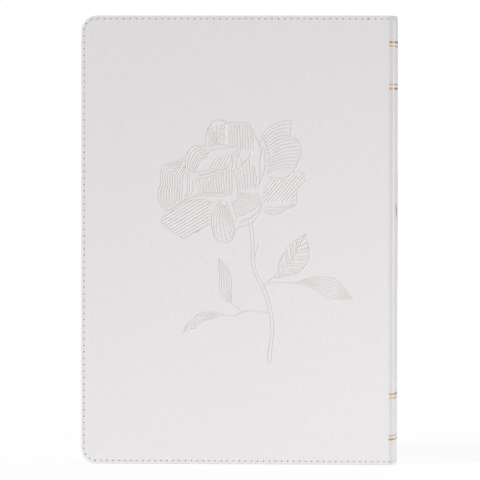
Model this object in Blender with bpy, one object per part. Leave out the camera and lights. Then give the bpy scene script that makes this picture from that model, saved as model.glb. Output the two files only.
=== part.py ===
"""A closed, case-bound Bible in white faux leather, standing upright on its tail edges.

Metres, +Z up.  X runs from the fore edge to the spine.  The back cover faces -Y and the
front cover faces +Y.  The origin is at the middle of the bounding box, on its bottom.
"""
import math

import bmesh
import bpy

# the closed case
HEIGHT = 0.234
WIDTH = 0.165
THICKNESS = 0.040
SPINE_BULGE = 0.0050        # how far the spine rounds out past the two hinge lines
FORE_CORNER = 0.0075        # radius of the covers' two outer corners
COVER = 0.0030              # one cover: skin, board and pastedown
SKIN = 0.0010
BOARD = 0.0012
LAYER_GAP = 0.0002          # between two flat layers
JOINT_WIDTH = 0.0060        # bare skin between the board and the hinge line
HINGE_GAP = 0.0003          # between the cover's skin and the spine's skin

# the seam that runs round the whole case
SEAM_INSET = 0.0017
SEAM_GROOVE = 0.00035       # depth
THREAD_RADIUS = 0.00012

# the text block
SQUARE = 0.0030             # the covers' overhang past the pages
BACK_ROUND = 0.0030         # height of the rounded back
BLOCK_HALF = 0.0163         # half of the block's thickness, without the flyleaves
PAGE_CORNER = 0.0060
LEAVES_PER_SIDE = 8
CENTRE_HALF_GAP = 0.00035   # the ribbon lies here
CENTRE_LEAF = 0.0014
SWING_GAP = 0.0003          # between a centre signature and the first one that turns
LEAF_GAP = 0.0002
FLYLEAF = 0.0003

# the hinges
X_FORE = -WIDTH / 2
X_HINGE = WIDTH / 2 - SPINE_BULGE
HALF = THICKNESS / 2
X_BACK_EDGE = X_HINGE - 0.0029          # spine edge of the outermost signature
LEAF_AXIS = (X_HINGE - 0.0021, BLOCK_HALF + 0.0004)

# the rounded back, an arc about a line parallel to Z
BACK_RADIUS = (BLOCK_HALF ** 2 + BACK_ROUND ** 2) / (2 * BACK_ROUND)
BACK_CENTRE_X = X_BACK_EDGE + BACK_ROUND - BACK_RADIUS
PAGE_WIDTH = X_BACK_EDGE - (X_FORE + SQUARE)

# the spine's section: a small arc at each hinge line and one shallow arc between them
SPINE_CORNER = 0.0036
SPINE_ARC_DEG = 10.0
SPINE_RADIUS = (HALF - SPINE_CORNER) / math.sin(math.radians(SPINE_ARC_DEG)) + SPINE_CORNER
SPINE_CENTRE_X = WIDTH / 2 - SPINE_RADIUS


def clear_scene():
    """Remove every object that the scene starts with."""
    for ob in list(bpy.data.objects):
        bpy.data.objects.remove(ob, do_unlink=True)


def make_material(name, color, roughness):
    """Make one plain material."""
    mat = bpy.data.materials.new(name)
    mat.use_nodes = True
    bsdf = mat.node_tree.nodes["Principled BSDF"]
    bsdf.inputs["Base Color"].default_value = (*color, 1)
    bsdf.inputs["Roughness"].default_value = roughness
    mat.diffuse_color = (*color, 1)
    return mat


def new_object(name, bm, material, origin, smooth=False):
    """Turn bm into an object whose origin is on its joint's axis, or at the row's origin."""
    bmesh.ops.recalc_face_normals(bm, faces=bm.faces)
    mesh = bpy.data.meshes.new(name)
    bm.to_mesh(mesh)
    bm.free()
    for vert in mesh.vertices:
        vert.co = (vert.co.x - origin[0], vert.co.y - origin[1], vert.co.z - origin[2])
    for poly in mesh.polygons:
        poly.use_smooth = smooth
    ob = bpy.data.objects.new(name, mesh)
    ob.location = origin
    ob.data.materials.append(material)
    bpy.context.collection.objects.link(ob)
    return ob


def skin_loops(bm, loops, cap_first=True, cap_last=True, closed=True):
    """Join rings of points, each as long as the next, into a surface with optional caps."""
    rings = [[bm.verts.new(p) for p in ring] for ring in loops]
    count = len(rings[0])
    for ring, following in zip(rings, rings[1:]):
        for i in range(count if closed else count - 1):
            j = (i + 1) % count
            bm.faces.new((ring[i], ring[j], following[j], following[i]))
    if cap_first:
        bm.faces.new(rings[0])
    if cap_last:
        bm.faces.new(rings[-1])
    return rings


def arc(cx, cz, radius, start_deg, end_deg, steps):
    """Points on an arc, with both ends."""
    angles = [math.radians(start_deg + (end_deg - start_deg) * i / steps)
              for i in range(steps + 1)]
    return [(cx + radius * math.cos(a), cz + radius * math.sin(a)) for a in angles]


def sheet_outline(x_fore, x_back, z_low, z_high, radius, steps=6):
    """A rectangle in the XZ plane whose two corners at the fore edge are rounded."""
    points = [(x_back, z_low)]
    points += arc(x_fore + radius, z_low + radius, radius, 270, 180, steps)
    points += arc(x_fore + radius, z_high - radius, radius, 180, 90, steps)
    points.append((x_back, z_high))
    return points


def cover_path(inset, steps=6):
    """The open outline of a cover: tail, fore edge and head, moved in by inset."""
    return sheet_outline(X_FORE + inset, X_HINGE - HINGE_GAP / 2, inset, HEIGHT - inset,
                         FORE_CORNER - inset, steps)


# inset and depth of the skin's section, from the inner lip round the edge to the seam
EDGE_SECTION = [
    (SKIN, COVER),
    (0.0003, COVER),
    (0.0, COVER - 0.0003),
    (0.0, 0.0007),
    (0.0002, 0.0002),
    (0.0007, 0.0),
    (SEAM_INSET - 0.00030, 0.0),
    (SEAM_INSET - 0.00018, SEAM_GROOVE),
    (SEAM_INSET + 0.00018, SEAM_GROOVE),
    (SEAM_INSET + 0.00030, 0.0),
]


def cover_skin(name, side, material, origin):
    """The faux leather: a plate, its turned-down edges and the groove of the seam."""
    section = [(SKIN, SKIN)] + EDGE_SECTION
    bm = bmesh.new()
    loops = []
    for inset, depth in section:
        y = side * (HALF - depth)
        loops.append([(x, y, z) for x, z in cover_path(inset)])
    rings = skin_loops(bm, loops, closed=False)
    bm.faces.new([ring[0] for ring in rings] + [ring[-1] for ring in reversed(rings)])
    return new_object(name, bm, material, origin)


def flat_sheet(name, outline, y_low, y_high, material, origin):
    """A flat sheet parallel to the covers."""
    bm = bmesh.new()
    skin_loops(bm, [[(x, y, z) for x, z in outline] for y in (y_low, y_high)])
    return new_object(name, bm, material, origin)


def cover_layer(name, side, depth, thickness, material, origin):
    """The board or the pastedown inside a cover's skin."""
    rim = SKIN + LAYER_GAP
    outline = sheet_outline(X_FORE + rim, X_HINGE - JOINT_WIDTH, rim, HEIGHT - rim,
                            FORE_CORNER - rim)
    faces = sorted((side * (HALF - depth), side * (HALF - depth - thickness)))
    return flat_sheet(name, outline, faces[0], faces[1], material, origin)


def thread(name, path, plane_normal, material, origin, sides=6, radius=THREAD_RADIUS):
    """A round thread along a path that lies in one plane."""
    bm = bmesh.new()
    loops = []
    for i, point in enumerate(path):
        before = path[max(i - 1, 0)]
        after = path[min(i + 1, len(path) - 1)]
        tangent = [b - a for a, b in zip(before, after)]
        length = math.sqrt(sum(t * t for t in tangent))
        tx, ty, tz = (t / length for t in tangent)
        nx, ny, nz = plane_normal
        across = (ty * nz - tz * ny, tz * nx - tx * nz, tx * ny - ty * nx)
        ring = []
        for k in range(sides):
            turn = 2 * math.pi * k / sides
            ring.append([p + radius * (math.cos(turn) * a + math.sin(turn) * n)
                         for p, a, n in zip(point, across, plane_normal)])
        loops.append(ring)
    skin_loops(bm, loops)
    return new_object(name, bm, material, origin, smooth=True)


def cover_thread(name, side, material, origin):
    """The thread along the head, fore edge and tail of one cover."""
    y = side * (HALF - SEAM_GROOVE / 2)
    path = [(x, y, z) for x, z in cover_path(SEAM_INSET)]
    path[0] = (path[0][0] - 0.0002, y, path[0][2])
    path[-1] = (path[-1][0] - 0.0002, y, path[-1][2])
    return thread(name, path, (0, 1, 0), material, origin)


def spine_section(depth, corner_steps=4, back_steps=6):
    """The case's spine from the back hinge line to the front one, moved in by depth."""
    tip = SPINE_CORNER - depth
    low = arc(X_HINGE, -(HALF - SPINE_CORNER), tip, -90, -SPINE_ARC_DEG, corner_steps)
    back = arc(SPINE_CENTRE_X, 0, SPINE_RADIUS - depth, -SPINE_ARC_DEG, SPINE_ARC_DEG,
               back_steps)
    high = arc(X_HINGE, HALF - SPINE_CORNER, tip, SPINE_ARC_DEG, 90, corner_steps)
    points = low + back[1:-1] + high
    return [(max(x, X_HINGE + HINGE_GAP / 2), y) for x, y in points]


def spine_skin(material):
    """The faux leather over the spine, with the seam's groove near the head and tail."""
    low = [(z, depth) for z, depth in EDGE_SECTION if depth < COVER - 0.0003]
    low[0] = (0.0, 0.0007)
    high = [(HEIGHT - z, depth) for z, depth in reversed(low)]
    rows = [(0.0, SKIN)] + low + high + [(HEIGHT, SKIN)]
    bm = bmesh.new()
    loops = [[(x, y, z) for x, y in spine_section(depth)] for z, depth in rows]
    rings = skin_loops(bm, loops, cap_first=False, cap_last=False, closed=False)
    first, last = rings[0], rings[-1]
    for i in range(len(first) - 1):
        bm.faces.new((first[i], first[i + 1], last[i + 1], last[i]))
    bm.faces.new([ring[0] for ring in rings])
    bm.faces.new([ring[-1] for ring in rings])
    return new_object("spine_skin", bm, material, (0, 0, 0))


def spine_thread(name, z, material):
    """The seam's thread across the spine at the head or the tail."""
    path = [(x, y, z) for x, y in spine_section(SEAM_GROOVE / 2)]
    return thread(name, path[1:-1], (0, 0, 1), material, (0, 0, 0))


def curved_strip(name, centre_x, radius, thickness, half_width, z_low, z_high, material,
                 steps=6):
    """A strip bent round a line parallel to Z, such as a spine lining."""
    half_deg = math.degrees(math.asin(half_width / radius))
    outer = arc(centre_x, 0, radius + thickness, -half_deg, half_deg, steps)
    inner = arc(centre_x, 0, radius, half_deg, -half_deg, steps)
    bm = bmesh.new()
    skin_loops(bm, [[(x, y, z) for x, y in outer + inner] for z in (z_low, z_high)])
    return new_object(name, bm, material, (0, 0, 0))


def back_x(y):
    """Where the rounded back of the text block is at y."""
    return BACK_CENTRE_X + math.sqrt(BACK_RADIUS ** 2 - y ** 2)


def signature(name, y_low, y_high, material, origin):
    """One bundle of folded sheets, slanted so that the back is round and the fore edge hollow."""
    bm = bmesh.new()
    loops = []
    for y in (y_low, y_high):
        x = back_x(y)
        outline = sheet_outline(x - PAGE_WIDTH, x, SQUARE, HEIGHT - SQUARE, PAGE_CORNER, 4)
        loops.append([(px, y, pz) for px, pz in outline])
    skin_loops(bm, loops)
    return new_object(name, bm, material, origin)


def band(name, z, material):
    """A sewn band that covers the end of the rounded back."""
    half_deg = math.degrees(math.asin(0.0135 / BACK_RADIUS))
    path = arc(BACK_CENTRE_X, 0, BACK_RADIUS - 0.0008, -half_deg, half_deg, 8)
    return thread(name, [(x, y, z) for x, y in path], (0, 0, 1), material, (0, 0, 0),
                  sides=8, radius=0.0010)


def ribbon(material):
    """The marker ribbon: fixed to the back at the head and laid down between two pages."""
    half = 0.00015
    left, right = 0.0560, 0.0620
    outline = [
        (left, 0.0100),
        ((left + right) / 2, 0.0128),
        (right, 0.0100),
        (right, 0.2190),
        (X_HINGE - 0.0003, 0.2240),
        (X_HINGE - 0.0003, 0.2300),
        (left + 0.0030, 0.2300),
        (left, 0.2270),
    ]
    return flat_sheet("ribbon_marker", outline, -half, half, material, (0, 0, 0))


def build_cover(prefix, side, mats):
    """Skin, board, pastedown and thread of one cover."""
    origin = (X_HINGE, side * HALF, HEIGHT / 2)
    cover_skin(f"{prefix}_cover_skin", side, mats["leather"], origin)
    cover_layer(f"{prefix}_cover_board", side, SKIN + LAYER_GAP, BOARD, mats["board"], origin)
    inside = SKIN + LAYER_GAP + BOARD + LAYER_GAP
    cover_layer(f"{prefix}_pastedown", side, inside, COVER - inside, mats["endpaper"], origin)
    cover_thread(f"{prefix}_cover_stitching", side, mats["thread"], origin)


def build_spine(mats):
    """The spine of the case, and the linings glued to the text block's back."""
    spine_skin(mats["leather"])
    curved_strip("spine_inlay", SPINE_CENTRE_X, SPINE_RADIUS - SKIN - LAYER_GAP - 0.0008,
                 0.0008, 0.0150, 0.0015, HEIGHT - 0.0015, mats["board"])
    spine_thread("spine_tail_stitching", SEAM_INSET, mats["thread"])
    spine_thread("spine_head_stitching", HEIGHT - SEAM_INSET, mats["thread"])
    curved_strip("mull", BACK_CENTRE_X, BACK_RADIUS + 0.0002, 0.0003, 0.0155, 0.0120,
                 HEIGHT - 0.0120, mats["mull"])
    curved_strip("spine_liner", BACK_CENTRE_X, BACK_RADIUS + 0.0007, 0.0004, 0.0150, 0.0040,
                 HEIGHT - 0.0040, mats["kraft"])
    band("headband", HEIGHT - SQUARE + 0.0013, mats["band"])
    band("tailband", SQUARE - 0.0013, mats["band"])
    ribbon(mats["ribbon"])


def build_leaves(mats):
    """The signatures from the front cover to the back one, and the two flyleaves."""
    first = CENTRE_HALF_GAP + CENTRE_LEAF + SWING_GAP
    pitch = (BLOCK_HALF - first + LEAF_GAP) / LEAVES_PER_SIDE
    count = 2 * LEAVES_PER_SIDE + 2
    for side, prefix in ((1, "front"), (-1, "back")):
        axis = (LEAF_AXIS[0], side * LEAF_AXIS[1], HEIGHT / 2)
        for k in range(LEAVES_PER_SIDE):
            near = first + pitch * k
            ys = sorted((side * near, side * (near + pitch - LEAF_GAP)))
            number = LEAVES_PER_SIDE - k if side > 0 else LEAVES_PER_SIDE + 3 + k
            signature(f"signature_{number:02d}", ys[0], ys[1], mats["paper"], axis)
        ys = sorted((side * CENTRE_HALF_GAP, side * (CENTRE_HALF_GAP + CENTRE_LEAF)))
        number = count // 2 if side > 0 else count // 2 + 1
        signature(f"signature_{number:02d}", ys[0], ys[1], mats["paper"], (0, 0, 0))
        outline = sheet_outline(X_FORE + SQUARE, X_BACK_EDGE - 0.0002, SQUARE,
                                HEIGHT - SQUARE, PAGE_CORNER)
        ys = sorted((side * (LEAF_AXIS[1] - FLYLEAF), side * LEAF_AXIS[1]))
        flat_sheet(f"{prefix}_flyleaf", outline, ys[0], ys[1], mats["endpaper"], axis)


def main():
    clear_scene()
    mats = {
        "leather": make_material("faux_leather", (0.80, 0.79, 0.79), 0.55),
        "board": make_material("board", (0.47, 0.43, 0.37), 0.9),
        "endpaper": make_material("endpaper", (0.90, 0.88, 0.83), 0.85),
        "thread": make_material("thread", (0.86, 0.85, 0.84), 0.8),
        "paper": make_material("paper", (0.88, 0.84, 0.74), 0.85),
        "mull": make_material("mull", (0.80, 0.77, 0.69), 0.9),
        "kraft": make_material("kraft", (0.50, 0.36, 0.22), 0.9),
        "band": make_material("band", (0.83, 0.70, 0.42), 0.8),
        "ribbon": make_material("ribbon", (0.78, 0.62, 0.33), 0.6),
    }
    build_cover("front", 1, mats)
    build_cover("back", -1, mats)
    build_spine(mats)
    build_leaves(mats)


main()
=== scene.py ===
"""Looks of the white faux-leather Bible: leather case with a pressed rose, seam, foil and leaves.

Row frame, metres: X from fore edge to spine, back cover at -Y, front cover at +Y, Z up.
Sizes here are in millimetres; finish_object and CaseHalf turn them into metres.
"""
import math
import random

import bmesh
import bpy
import numpy as np
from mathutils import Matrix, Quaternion, Vector
from mathutils.geometry import delaunay_2d_cdt
from mathutils.kdtree import KDTree

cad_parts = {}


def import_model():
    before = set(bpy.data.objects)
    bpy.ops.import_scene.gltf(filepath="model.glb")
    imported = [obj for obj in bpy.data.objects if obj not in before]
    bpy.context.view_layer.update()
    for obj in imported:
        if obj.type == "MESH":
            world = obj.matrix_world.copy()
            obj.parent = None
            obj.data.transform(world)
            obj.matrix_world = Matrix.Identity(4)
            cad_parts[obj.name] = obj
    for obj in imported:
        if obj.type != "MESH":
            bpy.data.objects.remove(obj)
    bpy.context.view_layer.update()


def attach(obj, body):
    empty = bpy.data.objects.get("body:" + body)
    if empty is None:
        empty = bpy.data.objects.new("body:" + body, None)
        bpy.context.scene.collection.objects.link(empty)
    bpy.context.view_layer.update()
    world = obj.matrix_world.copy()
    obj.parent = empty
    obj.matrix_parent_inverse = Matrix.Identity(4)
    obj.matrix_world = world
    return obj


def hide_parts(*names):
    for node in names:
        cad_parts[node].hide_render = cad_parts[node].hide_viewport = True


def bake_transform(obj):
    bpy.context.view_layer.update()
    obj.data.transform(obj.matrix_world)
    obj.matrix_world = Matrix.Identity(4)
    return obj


MM = 0.001

# the case, in millimetres
HEIGHT = 234.0
HALF = 20.0
X_FORE = -82.5
X_HINGE = 77.5
X_CREST = 82.5
CORNER = 8.1
COVER = 2.85               # leather to leather, without the pastedown
SPINE_LEATHER = 1.1        # the case over the spine and the joint
SPINE_CORNER = 3.6
SPINE_ARC = math.radians(10)
SPINE_RADIUS = (HALF - SPINE_CORNER) / math.sin(SPINE_ARC) + SPINE_CORNER
EDGE_ROLL = 0.8            # how far in the rounded edge begins
RIM_PITCH = 2.0            # between vertices along it
BOARD_RISE = (4.0, 8.0)    # past the hinge line, the case thickens between these
FLAT_END = X_HINGE - 10.0  # the flat face ends and the fine strip begins

# the seam
SEAM_INSET = 1.75
STITCH = 3.36
TAIL_STITCH = 3.14         # the seam along the tail is a little finer
HOLE_RADIUS = 0.52
HOLE_DEPTH = 0.50
# painted shade in the holes: how much of the dark colour they get, standing in for the shade inside
# them
HOLE_PAINTED_SHADE = 0.8
HOLE_EDGE = 1.8            # how fast the painted shade in a hole reaches full strength
CHANNEL_DEPTH = 0.04
CHANNEL_HALF = 0.90
SLANT = 0.10               # a stitch leans sideways by up to this
SINK = 0.05                # the thread lies this deep in the leather on the inside
# place along a stitch, height over the leather and radius of the thread
STITCH_SHAPE = ((0.10, -0.42, 0.10), (0.15, -0.22, 0.14), (0.21, -0.10, 0.16),
                (0.34, -0.05, 0.17), (0.50, -0.04, 0.18), (0.66, -0.05, 0.17),
                (0.79, -0.10, 0.16), (0.85, -0.22, 0.14), (0.90, -0.42, 0.10))

# the pressed rose
GROOVE_HALF = 0.53
GROOVE_DEPTH = 0.385
# painted shade in the grooves: how much of the dark colour they get, standing in for the shade in them
GROOVE_PAINTED_SHADE = 0.05
COARSE = 4.0               # the flat face's grid, away from the rose
FINE = 1.5                 # and near it
BLOOM = (-2.5, 141.2)      # the middle of the bloom on the cover
STALKS = (-3.5, 142.7)     # the point from which the stem and its leaves are drawn
WAVE = 0.03                # height of the leather's faint waves
# how fast each wave turns along the sheet and up it, and where it starts
WAVES = ((0.045, 0.031, 0.3), (0.021, -0.057, 1.7), (0.08, 0.012, 4.0))

# the text block
SQUARE = 3.0
BACK_ROUND = 3.0
BLOCK_HALF = 16.3
BACK_RADIUS = (BLOCK_HALF ** 2 + BACK_ROUND ** 2) / (2 * BACK_ROUND)
X_BACK_EDGE = X_HINGE - 2.9
BACK_CENTRE_X = X_BACK_EDGE + BACK_ROUND - BACK_RADIUS
PAGE_WIDTH = X_BACK_EDGE - (X_FORE + SQUARE)
PAGE_CORNER = 6.0
LEAVES_PER_SIDE = 8
FIRST_LEAF = 2.05
LEAF_GAP = 0.2
LEAF_PITCH = (BLOCK_HALF - FIRST_LEAF + LEAF_GAP) / LEAVES_PER_SIDE
CENTRE_GAP = 0.20          # from the middle plane, where the ribbon lies
MIDDLE_GAP = 0.04          # between a middle bundle and the next one
FOLD = ((0.7, 0.0), (0.35, 0.12), (0.0, 0.34))  # distance from the fold, share pinched off
UNEVEN = 0.05              # the leaves' edges differ by this much
FLYLEAF = (16.42, 16.68)   # the flyleaf's two faces
FLYLEAF_SHIFT = -0.25      # and its shift along X, towards the fore edge
PASTEDOWN_PROUD = 0.15     # the pastedown's face over the cover's inside
PASTEDOWN_ROOT = 0.3       # and how deep it goes into the cover
SQUEEZE = 0.08             # how far a bundle swells into each gap beside it
BEND_LENGTH = 24.0         # the leaves bend over this length from the back
SHEETS_PER_MM = 3.2        # lines on the gilt edges
PRINT_COLUMNS = ((16.0, 76.0), (80.0, 140.0))
PRINT_HEIGHT = (20.0, 212.0)
PRINT_PITCH = 3.1
WORDS_PER_MM = 0.55

FOIL_LIFT = 0.045          # the foil's face over the leather
FOIL_ROOT = 0.05           # and how deep its edge goes
CROSS_LIFT = 0.12          # the cross's face, which clears the leather's waves
# height of the middle and half of the width of each gold rule on the spine
RULES = ((220.2, 0.50), (218.1, 0.26), (198.2, 0.26), (196.1, 0.50),
         (36.9, 0.50), (34.9, 0.26), (15.3, 0.26), (13.3, 0.50))


# ---------------------------------------------------------------- materials

class Nodes:
    """A short way to write a material's node tree."""

    def __init__(self, name):
        self.mat = bpy.data.materials.new(name)
        self.mat.use_nodes = True
        self.mat.use_backface_culling = False
        self.tree = self.mat.node_tree
        self.bsdf = self.tree.nodes["Principled BSDF"]

    def add(self, kind, **values):
        """A node of this kind; values go to its inputs, or else to the node itself."""
        node = self.tree.nodes.new("ShaderNode" + kind)
        for key, value in values.items():
            if key in node.inputs:
                node.inputs[key].default_value = value
            else:
                setattr(node, key, value)
        return node

    def put(self, value, target):
        """Give a socket a number or a colour, or join another socket to it."""
        if isinstance(value, (int, float, tuple)):
            target.default_value = value
        else:
            self.tree.links.new(value, target)

    def set(self, **values):
        """Give the material's own sockets values or links."""
        for key, value in values.items():
            self.put(value, self.bsdf.inputs[key.replace("_", " ")])

    def texture(self, kind, stretch=None, out="Fac", **values):
        """A texture in object coordinates, which stretch scales along the axes."""
        place = self.add("TexCoord").outputs["Object"]
        if stretch:
            mapping = self.add("Mapping", Scale=stretch)
            self.put(place, mapping.inputs["Vector"])
            place = mapping.outputs["Vector"]
        node = self.add("Tex" + kind, **values)
        self.put(place, node.inputs["Vector"])
        return node.outputs[out]

    def attribute(self, name):
        return self.add("Attribute", attribute_name=name).outputs["Fac"]

    def math(self, operation, a, b=0.0):
        node = self.add("Math", operation=operation)
        self.put(a, node.inputs[0])
        self.put(b, node.inputs[1])
        return node.outputs[0]

    def ramp(self, source, *stops):
        """A colour ramp over source; each stop is a position and a colour."""
        node = self.add("ValToRGB")
        self.put(source, node.inputs["Fac"])
        elements = node.color_ramp.elements
        while len(elements) < len(stops):
            elements.new(0.5)
        for element, (position, color) in zip(elements, stops):
            element.position = position
            element.color = color
        return node.outputs["Color"]

    def mix(self, share, a, b):
        """The colour that is share of the way from a to b."""
        node = self.add("Mix", data_type="RGBA")
        self.put(share, node.inputs["Factor"])
        self.put(a, node.inputs[6])
        self.put(b, node.inputs[7])
        return node.outputs[2]

    def mix_shader(self, share, a, b):
        node = self.add("MixShader")
        for value, target in zip((share, a, b), node.inputs):
            self.put(value, target)
        return node.outputs[0]

    def bump(self, height, strength, distance):
        """Roughen the surface by height."""
        node = self.add("Bump", Strength=strength, Distance=distance)
        self.put(height, node.inputs["Height"])
        self.set(Normal=node.outputs["Normal"])


def rgb(r, g, b):
    return (r, g, b, 1.0)


def leather_material():
    """White faux leather: linen grain, pearl sheen, warmer in the grooves, with painted shade in the
    holes and grooves.
    """
    n = Nodes("white_leather")
    slub = n.texture("Noise", stretch=(1800, 1800, 160), Scale=1.0, Detail=3.0, Roughness=0.6)
    weft = n.texture("Noise", stretch=(420, 420, 2400), Scale=1.0, Detail=2.0)
    pores = n.texture("Voronoi", out="Distance", Scale=2200.0)
    n.bump(n.math("ADD", n.math("ADD", slub, weft), pores), 0.5, 0.00006)
    linen = n.ramp(slub, (0.25, rgb(0.722, 0.708, 0.716)), (0.75, rgb(0.772, 0.760, 0.760)))
    warm = n.mix(n.attribute("pressed"), linen, rgb(0.754, 0.730, 0.703))
    # painted shade: the holes and grooves are mixed towards a dark grey, standing in for the shade in
    # them
    n.set(Base_Color=n.mix(n.attribute("painted_shade"), warm, rgb(0.20, 0.185, 0.18)),
          Roughness=0.44, IOR=1.5, Coat_Weight=0.12, Coat_Roughness=0.32)
    return n.mat


def mottled_material(name, scale, detail, stops, bump, **look):
    """A material whose colour and surface follow one fine noise."""
    n = Nodes(name)
    noise = n.texture("Noise", Scale=scale, Detail=detail)
    n.set(Base_Color=n.ramp(noise, *stops), **look)
    n.bump(noise, *bump)
    return n.mat


def thread_material():
    """White twisted thread."""
    return mottled_material("white_thread", 2600.0, 1.0,
                            ((0.3, rgb(0.62, 0.61, 0.60)), (0.7, rgb(0.84, 0.83, 0.82))),
                            (0.6, 0.00008), Roughness=0.75)


def foil_material():
    """Hot-stamped gold foil, uneven where the grain shows through."""
    return mottled_material("gold_foil", 900.0, 3.0,
                            ((0.35, rgb(0.33, 0.19, 0.075)), (0.65, rgb(0.60, 0.41, 0.19))),
                            (0.4, 0.00004), Metallic=0.9, Roughness=0.30)


def gilt_material():
    """The gilt page edges: fine lines from the sheets, which run along the layers."""
    n = Nodes("gilt_edges")
    noise = n.add("TexNoise", noise_dimensions="1D", Scale=1.0, Detail=3.0, Roughness=0.75)
    n.put(n.math("MULTIPLY", n.attribute("layer"), SHEETS_PER_MM), noise.inputs["W"])
    lines = noise.outputs["Fac"]
    gold = n.ramp(lines, (0.30, rgb(0.44, 0.27, 0.10)), (0.52, rgb(0.74, 0.52, 0.25)),
                  (0.75, rgb(0.90, 0.72, 0.42)))
    n.set(Base_Color=gold, Metallic=0.75, Roughness=0.38)
    n.bump(lines, 0.5, 0.0001)
    return n.mat


def page_material():
    """Thin bible paper with two columns of grey strokes in place of words."""
    n = Nodes("printed_page")
    x, z = n.attribute("page_x"), n.attribute("page_z")

    def between(value, low, high):
        return n.math("MULTIPLY", n.math("GREATER_THAN", value, low),
                      n.math("LESS_THAN", value, high))

    columns = n.math("ADD", *[between(x, *column) for column in PRINT_COLUMNS])
    printed = n.math("MULTIPLY", columns, between(z, *PRINT_HEIGHT))
    rows = n.math("DIVIDE", z, PRINT_PITCH)
    line = between(n.math("FRACT", rows), 0.32, 0.68)
    place = n.add("CombineXYZ")
    n.put(n.math("MULTIPLY", x, WORDS_PER_MM), place.inputs[0])
    n.put(rows, place.inputs[1])
    cell = n.add("VectorMath", operation="FLOOR")
    n.put(place.outputs[0], cell.inputs[0])
    words = n.add("TexWhiteNoise", noise_dimensions="2D")
    n.put(cell.outputs[0], words.inputs["Vector"])
    ink = n.math("MULTIPLY", n.math("GREATER_THAN", words.outputs["Value"], 0.22), 0.50)
    amount = n.math("MULTIPLY", n.math("MULTIPLY", printed, line), ink)
    n.set(Base_Color=n.mix(amount, rgb(0.86, 0.83, 0.75), rgb(0.16, 0.15, 0.15)),
          Roughness=0.8)
    return n.mat


def paper_material(name, light, dark, scale):
    """Plain paper or card with a fine mottle."""
    return mottled_material(name, scale, 4.0, ((0.3, dark), (0.7, light)), (0.3, 0.0001),
                            Roughness=0.85)


def woven_material(name, light, dark, scale, sheen=0.3):
    """Cloth with crossing threads."""
    n = Nodes(name)
    weave = n.math("MULTIPLY", *[n.texture("Wave", bands_direction=axis, Scale=scale,
                                           Distortion=0.4) for axis in ("X", "Z")])
    n.set(Base_Color=n.ramp(weave, (0.1, dark), (0.6, light)), Roughness=0.6,
          Sheen_Weight=sheen)
    n.bump(weave, 0.4, 0.0001)
    return n.mat


def silk_material():
    """The head and tail bands: white and gold silk in turn."""
    n = Nodes("band_silk")
    turn = n.math("SINE", n.attribute("layer"))
    n.set(Base_Color=n.ramp(turn, (0.35, rgb(0.86, 0.84, 0.80)), (0.60, rgb(0.70, 0.46, 0.16))),
          Roughness=0.5, Sheen_Weight=0.3)
    return n.mat


# ---------------------------------------------------------------- mesh helpers

def finish_object(name, bm, materials, smooth=True):
    """Turn bm, in millimetres, into an object in the row frame."""
    bmesh.ops.recalc_face_normals(bm, faces=bm.faces)
    bmesh.ops.scale(bm, vec=(MM, MM, MM), verts=bm.verts)
    mesh = bpy.data.meshes.new(name)
    bm.to_mesh(mesh)
    bm.free()
    mesh.polygons.foreach_set("use_smooth", [smooth] * len(mesh.polygons))
    for mat in materials:
        mesh.materials.append(mat)
    ob = bpy.data.objects.new(name, mesh)
    bpy.context.collection.objects.link(ob)
    return ob


def add_marks(mesh, **marks):
    """Store one number per vertex for each name; the materials read them."""
    for name, values in marks.items():
        attribute = mesh.attributes.new(name, "FLOAT", "POINT")
        attribute.data.foreach_set("value", values)


def sharpen(ob, degrees=40):
    """Keep edges steeper than this crisp."""
    limit = math.radians(degrees)
    bm = bmesh.new()
    bm.from_mesh(ob.data)
    for edge in bm.edges:
        if len(edge.link_faces) == 2 and edge.calc_face_angle(0) > limit:
            edge.smooth = False
    bm.to_mesh(ob.data)
    bm.free()


def catmull(points, count):
    """count points, evenly spaced, on a smooth curve through the given ones."""
    pts = np.array(points, float)
    if len(pts) == 2:
        dense = pts
    else:
        ends = np.vstack([2 * pts[0] - pts[1], pts, 2 * pts[-1] - pts[-2]])
        t = np.linspace(0, 1, 13)[:-1, None]
        parts = []
        for i in range(len(pts) - 1):
            p0, p1, p2, p3 = ends[i:i + 4]
            parts.append(0.5 * (2 * p1 + (p2 - p0) * t + (2 * p0 - 5 * p1 + 4 * p2 - p3) * t ** 2
                                + (3 * p1 - p0 - 3 * p2 + p3) * t ** 3))
        dense = np.vstack(parts + [pts[-1:]])
    steps = np.linalg.norm(np.diff(dense, axis=0), axis=1)
    along = np.concatenate([[0], np.cumsum(steps)])
    want = np.linspace(0, along[-1], count)
    return np.stack([np.interp(want, along, dense[:, k]) for k in range(dense.shape[1])], 1)


def skin(bm, rings):
    """A closed surface over rings of points, with a face at each end."""
    rings = [[bm.verts.new(p) for p in ring] for ring in rings]
    for low, high in zip(rings, rings[1:]):
        for k in range(len(low)):
            j = (k + 1) % len(low)
            bm.faces.new((low[k], low[j], high[j], high[k]))
    bm.faces.new(rings[0])
    bm.faces.new(rings[-1])


def slab(bm, outline, low, high):
    """A plate between y = low and y = high, with an outline of (x, z)."""
    skin(bm, [[(x, y, z) for x, z in outline] for y in (low, high)])


def tube(bm, path, radii, sides=6, across=(0, 0, 1)):
    """A closed tube along 3-D points, with a radius at each."""
    path = [Vector(p) for p in path]
    rings = []
    for i, (p, r) in enumerate(zip(path, radii)):
        tangent = (path[min(i + 1, len(path) - 1)] - path[max(i - 1, 0)]).normalized()
        side = tangent.cross(Vector(across)).normalized()
        up = side.cross(tangent)
        rings.append([p + r * (math.cos(a) * side + math.sin(a) * up)
                      for a in (2 * math.pi * k / sides for k in range(sides))])
    skin(bm, rings)


# ---------------------------------------------------------------- the rose

def stroke(count, *points):
    """One groove: count places on a smooth curve through the given points."""
    return [catmull(points, count)]


def side_or_line(points, start, end, count):
    """A patch's edge: the given curve, or a straight line from start to end."""
    if points is None:
        return np.linspace(start, end, count)
    return catmull(points, count)


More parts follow.
